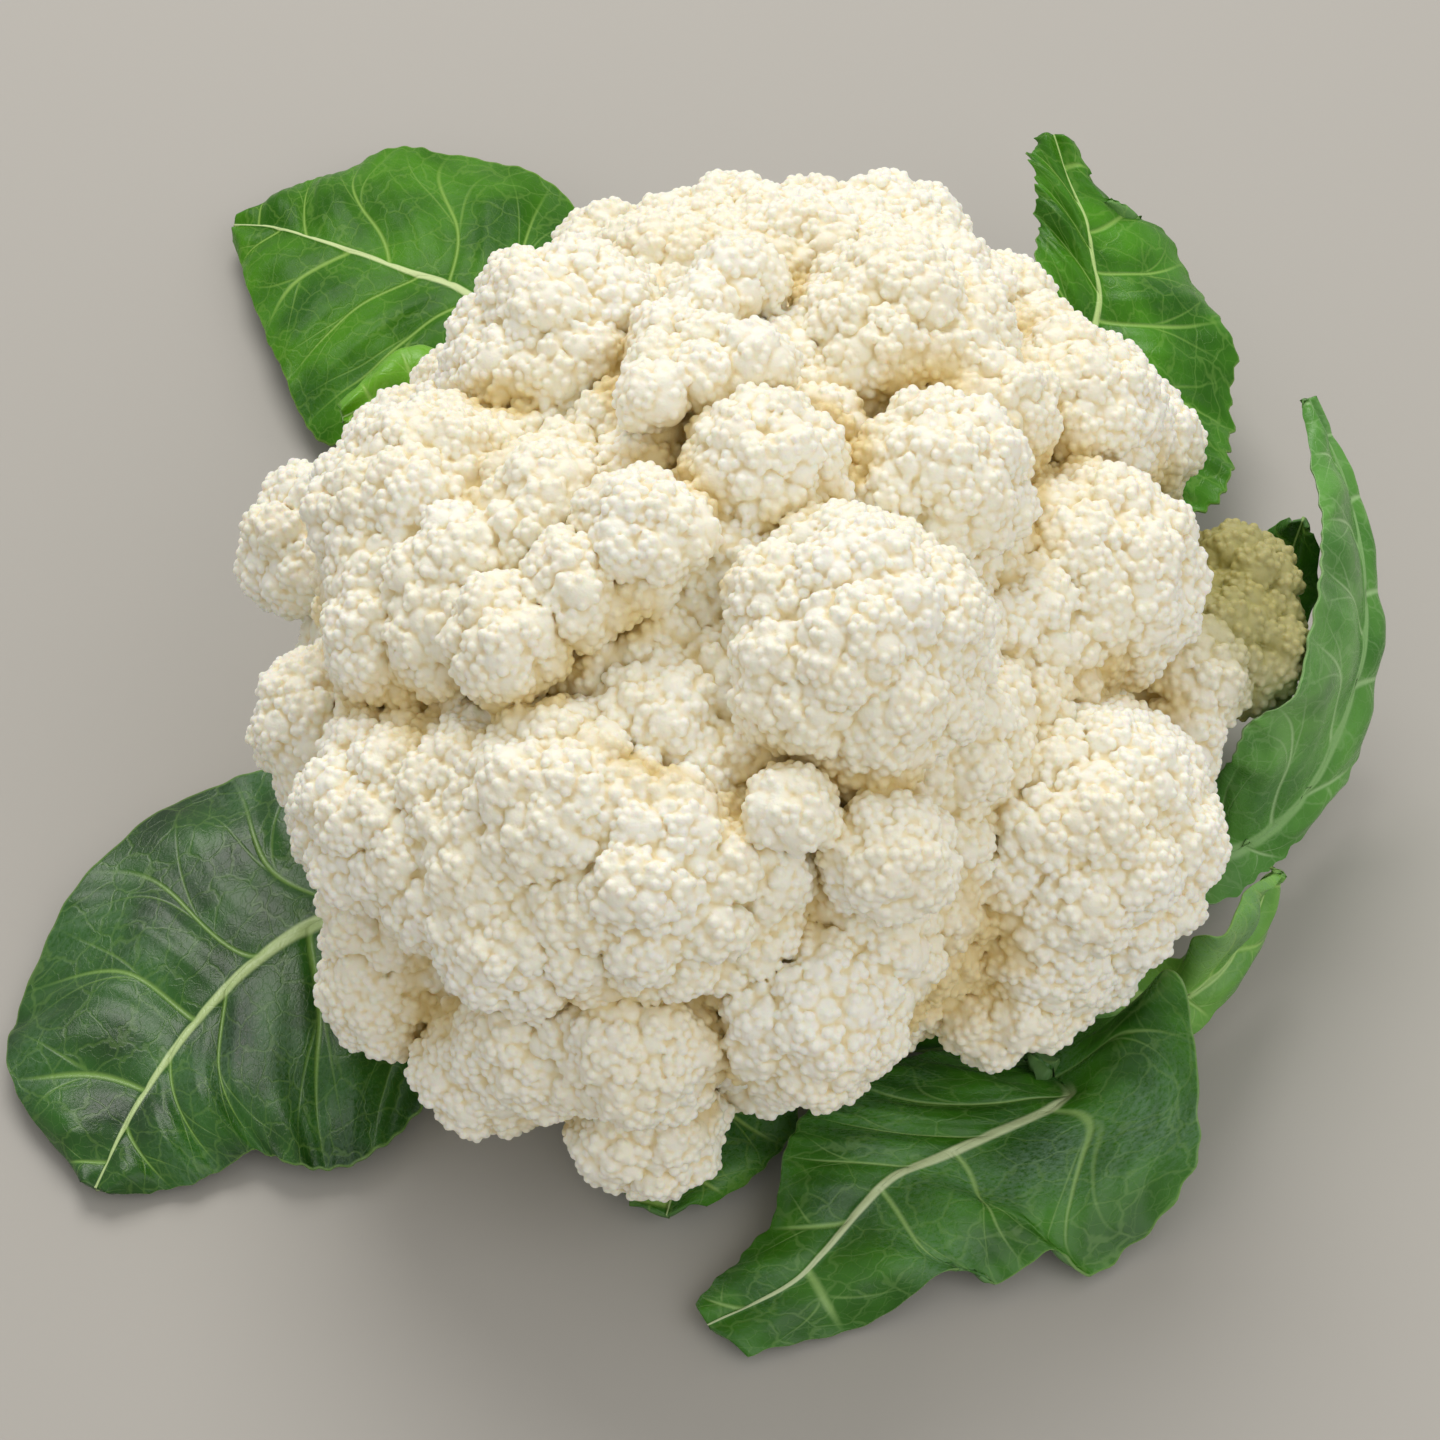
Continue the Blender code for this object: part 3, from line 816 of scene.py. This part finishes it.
class Shader:
    """A material's nodes, made by short calls. A value is a number, a colour or another node's output."""

    def __init__(self, name):
        self.material = bpy.data.materials.new(name)
        self.material.use_nodes = True
        self.tree = self.material.node_tree
        self.principled = self.tree.nodes["Principled BSDF"]

    def put(self, socket, value):
        if isinstance(value, bpy.types.NodeSocket):
            self.tree.links.new(value, socket)
        elif isinstance(value, tuple) and len(value) == 3 and socket.type == "RGBA":
            socket.default_value = (*value, 1.0)
        else:
            socket.default_value = value

    def node(self, kind, **values):
        made = self.tree.nodes.new(kind)
        for name, value in values.items():
            self.put(made.inputs[name], value)
        return made

    def math(self, operation, *values):
        made = self.tree.nodes.new("ShaderNodeMath")
        made.operation = operation
        for socket, value in zip(made.inputs, values):
            self.put(socket, value)
        return made.outputs[0]

    def attribute(self, name):
        made = self.tree.nodes.new("ShaderNodeAttribute")
        made.attribute_name = name
        return made

    def ramp(self, value, low, high, to_low=0.0, to_high=1.0):
        """A smooth step of value from low to high."""
        made = self.tree.nodes.new("ShaderNodeMapRange")
        made.interpolation_type = "SMOOTHSTEP"
        for socket, given in zip(made.inputs, (value, low, high, to_low, to_high)):
            self.put(socket, given)
        return made.outputs[0]

    def mix(self, share, first, second):
        made = self.tree.nodes.new("ShaderNodeMix")
        made.data_type = "RGBA"
        for index, given in ((0, share), (6, first), (7, second)):
            self.put(made.inputs[index], given)
        return made.outputs[2]

    def noise(self, scale, detail=2.0, vector=None, roughness=0.5):
        made = self.node("ShaderNodeTexNoise", Scale=scale, Detail=detail, Roughness=roughness)
        place = vector or self.tree.nodes.new("ShaderNodeTexCoord").outputs["Object"]
        self.put(made.inputs["Vector"], place)
        return made.outputs["Fac"]

    def bump(self, height, distance, strength=1.0):
        made = self.node("ShaderNodeBump", Height=height, Distance=distance, Strength=strength)
        self.put(self.principled.inputs["Normal"], made.outputs[0])

    def set(self, **values):
        for name, value in values.items():
            self.put(self.principled.inputs[name.replace("_", " ")], value)


def curd_material():
    """Creamy white beads, yellower and darker between them and ochre in the gaps between florets: partly the
    stalks' own yellow, partly painted shade.
    """
    s = Shader("curd_beads")
    bead = s.attribute("bead").outputs["Fac"]
    relief = s.attribute("relief").outputs["Fac"]
    gap = s.attribute("gap").outputs["Fac"]
    patches = s.noise(45.0, 3.0)
    top = s.mix(s.ramp(patches, 0.35, 0.7), (0.92, 0.88, 0.74), (0.95, 0.925, 0.83))
    # Painted shade: the colour gets yellower and darker between the beads, more in the valleys between
    # clusters and most in the gaps between florets. This is partly the real yellow of the stalks and partly
    # painted shade and painted light bounced inside.
    between = s.mix(s.ramp(bead, -0.25, 0.06), (0.86, 0.76, 0.50), top)
    shade_and_tint_in_valleys = s.mix(s.ramp(relief, -1.2, 0.0), (0.80, 0.66, 0.35), between)
    colour = s.mix(s.math("MULTIPLY", s.ramp(gap, 0.3, 6.0), 0.75), shade_and_tint_in_valleys, (0.72, 0.55, 0.20))
    # Painted shade: the florets behind the upright leaf are darkened to olive round this place, in place of
    # the leaf's shadow and the green light through it.
    away = s.node("ShaderNodeVectorMath")
    away.operation = "DISTANCE"
    s.put(away.inputs[0], s.tree.nodes.new("ShaderNodeTexCoord").outputs["Object"])
    s.put(away.inputs[1], LEAF_SHADOW_CENTRE)
    painted_leaf_shade = s.math("MULTIPLY", s.ramp(away.outputs["Value"], 0.033, 0.014), 0.9)
    colour = s.mix(painted_leaf_shade, colour, (0.36, 0.33, 0.09))
    s.set(Base_Color=colour, Roughness=0.5, Subsurface_Weight=0.4, Subsurface_Scale=0.0025)
    s.set(Subsurface_Radius=(1.0, 0.7, 0.35))
    s.bump(s.noise(2600.0, 2.0), 0.0002, 0.5)
    return s.material


def stem_material():
    """Pale green skin, and a cut face with a white pith inside a ring of fibres."""
    s = Shader("stem_flesh")
    place = s.tree.nodes.new("ShaderNodeTexCoord").outputs["Object"]
    split = s.node("ShaderNodeSeparateXYZ", Vector=place)
    middle = s.node("ShaderNodeCombineXYZ", X=split.outputs["X"], Y=split.outputs["Y"])
    length = s.node("ShaderNodeVectorMath", Vector=middle.outputs[0])
    length.operation = "LENGTH"
    out = s.math("MULTIPLY_ADD", s.noise(160.0), 0.0016, length.outputs["Value"])
    grain = s.noise(900.0, 3.0)
    cut = s.mix(grain, (0.66, 0.66, 0.42), (0.80, 0.79, 0.60))
    fibres = s.math("MULTIPLY", s.ramp(out, 0.0105, 0.0125), s.ramp(out, 0.0155, 0.0135))
    cut = s.mix(s.math("MULTIPLY", fibres, 0.7), cut, (0.52, 0.56, 0.26))
    skin_green = s.mix(s.noise(70.0, 3.0), (0.34, 0.46, 0.15), (0.62, 0.68, 0.38))
    colour = s.mix(s.ramp(split.outputs["Z"], 0.0004, 0.0014), cut, skin_green)
    s.set(Base_Color=colour, Roughness=0.6)
    s.bump(grain, 0.0003, 0.6)
    return s.material


def leaf_material(name, look):
    """A waxy blade with a pale midrib, side veins that fork and fade, and a fine net between them."""
    s = Shader(name + "_blade")
    along, across = s.attribute("along").outputs["Fac"], s.attribute("across").outputs["Fac"]
    phase, share = s.attribute("phase").outputs["Fac"], s.attribute("share").outputs["Fac"]
    blade, under = s.attribute("blade").outputs["Fac"], s.attribute("under").outputs["Fac"]
    rib_width = s.attribute("rib_width").outputs["Fac"]
    step = look["vein_step"] * math.sin(VEIN_ANGLE)

    def line(position, width, strength):
        """Thin lines wherever the position is a whole number."""
        away = s.math("MULTIPLY", s.math("PINGPONG", position, 0.5), step)
        shown = s.ramp(away, width, s.math("MULTIPLY", width, 0.1))
        return s.math("MULTIPLY", shown, strength)

    place = s.node("ShaderNodeCombineXYZ", X=along, Y=across, Z=s.math("MULTIPLY", under, 40.0))
    place = place.outputs[0]
    from_rib = s.math("ABSOLUTE", across)
    rib = s.ramp(from_rib, rib_width, s.math("MULTIPLY", rib_width, 0.45))
    # Painted shade: on this leaf the stalk under the head keeps the blade's darker green instead of the pale
    # midrib colour.
    if name in STALK_PAINTED_SHADE_END:
        rib = s.math("MULTIPLY", rib, s.ramp(along, STALK_PAINTED_SHADE_END[name] - 4, STALK_PAINTED_SHADE_END[name] + 8))
    thin = s.math("MULTIPLY_ADD", share, -0.5, 0.85)
    fade = s.ramp(share, 1.0, 0.45, 0.1, 1.0)
    fork = s.math("POWER", s.math("MAXIMUM", s.math("SUBTRACT", share, 0.3), 0.0), 1.4)
    twigs = s.math("MULTIPLY", s.ramp(share, 0.3, 0.5), fade)
    veins = line(phase, thin, fade)
    for way in (fork, s.math("MULTIPLY", fork, -0.8)):
        branch = line(s.math("ADD", phase, way), s.math("MULTIPLY", thin, 0.65), twigs)
        veins = s.math("MAXIMUM", veins, s.math("MULTIPLY", branch, 0.5))
    net = 0.0
    for scale, strength in ((0.15, 0.2), (0.38, 0.1)):
        warped = s.node("ShaderNodeVectorMath", Vector=place)
        warped.operation = "ADD"
        swirl = s.node("ShaderNodeTexNoise", Vector=place, Scale=0.25)
        wide = s.node("ShaderNodeVectorMath", Vector=swirl.outputs["Color"])
        wide.operation = "SCALE"
        wide.inputs["Scale"].default_value = 3.5
        s.put(warped.inputs[1], wide.outputs[0])
        cells = s.node("ShaderNodeTexVoronoi", Vector=warped.outputs[0], Scale=scale)
        cells.feature = "DISTANCE_TO_EDGE"
        edge = s.ramp(cells.outputs["Distance"], 0.05, 0.01, 0.0, strength)
        net = s.math("MAXIMUM", edge, net)
    net = s.math("MULTIPLY", net, blade)
    veins = s.math("MULTIPLY", veins, blade)
    patches = s.noise(0.055, 3.0, place)
    speckle = s.noise(1.1, 4.0, place, 0.7)
    green = s.mix(s.ramp(patches, 0.3, 0.72), look["dark"], look["light"])
    near_vein = s.math("MULTIPLY", s.ramp(s.math("PINGPONG", phase, 0.5), 0.28, 0.0), blade)
    green = s.mix(s.math("MULTIPLY", near_vein, 0.25), green, look["light"])
    waxy = s.math("MULTIPLY", s.ramp(s.noise(0.035, 2.0, place), 0.4, 0.75), s.ramp(speckle, 0.3, 0.7))
    green = s.mix(s.math("MULTIPLY", waxy, look["bloom"]), green, (0.22, 0.36, 0.27))
    pale = tuple(0.6 * a + 0.4 * b for a, b in zip(look["light"], (0.30, 0.45, 0.25)))
    green = s.mix(s.math("MULTIPLY", under, 0.75), green, pale)
    green = s.mix(s.math("MULTIPLY", net, 0.8), green, look["veins"])
    green = s.mix(s.math("MULTIPLY", veins, 0.7), green, look["veins"])
    colour = s.mix(rib, green, look["stalk"])
    colour = s.mix(s.ramp(share, 0.985, 1.0, 0.0, 0.5), colour, look["veins"])
    s.set(Base_Color=colour, Specular_IOR_Level=look["gloss"])
    s.set(Roughness=s.ramp(s.math("ADD", waxy, s.math("MULTIPLY", under, 0.6)), 0.0, 1.0, 0.26, 0.5))
    height = s.math("MULTIPLY_ADD", s.math("MAXIMUM", veins, net), -0.7, s.math("MULTIPLY", speckle, 0.35))
    s.bump(height, 0.0004, 0.6)
    return s.material


def make_camera():
    """A camera in front of the head and above it, aimed at its middle."""
    ahead = Vector((0, math.cos(VIEW_ELEVATION), -math.sin(VIEW_ELEVATION)))
    camera = bpy.data.objects.new("camera", bpy.data.cameras.new("camera"))
    camera.data.lens = VIEW_LENS
    camera.data.sensor_width = VIEW_SENSOR
    camera.location = Vector(VIEW_TARGET) - VIEW_DISTANCE * ahead
    camera.rotation_mode = "QUATERNION"
    camera.rotation_quaternion = ahead.to_track_quat("-Z", "Y")
    bpy.context.scene.collection.objects.link(camera)
    bpy.context.scene.camera = camera


def area_light(name, place, size, power, colour):
    """A round lamp, turned towards the head."""
    lamp = bpy.data.lights.new(name, "AREA")
    lamp.shape = "DISK"
    lamp.size = size
    lamp.energy = power
    lamp.color = colour
    made = bpy.data.objects.new(name, lamp)
    made.location = place
    made.rotation_mode = "QUATERNION"
    made.rotation_quaternion = (Vector(LIGHT_TARGET) - Vector(place)).to_track_quat("-Z", "Y")
    bpy.context.scene.collection.objects.link(made)


def make_studio():
    """Two lamps, an even sky and a plain floor."""
    area_light("key_light", (-0.16, 0.87, 1.2), 0.9, 11.4, (1.0, 0.98, 0.94))
    area_light("fill_light", (0.7, -0.7, 0.9), 1.2, 4.0, (1.0, 0.99, 0.97))
    world = bpy.data.worlds.new("studio")
    world.use_nodes = True
    world.node_tree.nodes["Background"].inputs[0].default_value = SKY_COLOUR
    world.node_tree.nodes["Background"].inputs[1].default_value = SKY_STRENGTH
    bpy.context.scene.world = world
    mesh = bpy.data.meshes.new("floor")
    side = FLOOR_SIDE
    corners = [(-side, -side, 0), (side, -side, 0), (side, side, 0), (-side, side, 0)]
    mesh.from_pydata(corners, [], [(0, 1, 2, 3)])
    floor = bpy.data.objects.new("floor", mesh)
    bpy.context.scene.collection.objects.link(floor)
    s = Shader("floor_matt")
    s.set(Base_Color=FLOOR_COLOUR, Roughness=0.8)
    mesh.materials.append(s.material)


def main():
    make_camera()
    make_studio()
    bpy.context.scene.view_settings.view_transform = "Standard"
    make_head()
    make_stem()
    for seed, (name, sections) in enumerate(LEAVES.items()):
        make_leaf(name, sections, LEAF_LOOKS[name], 10 * seed)


main()
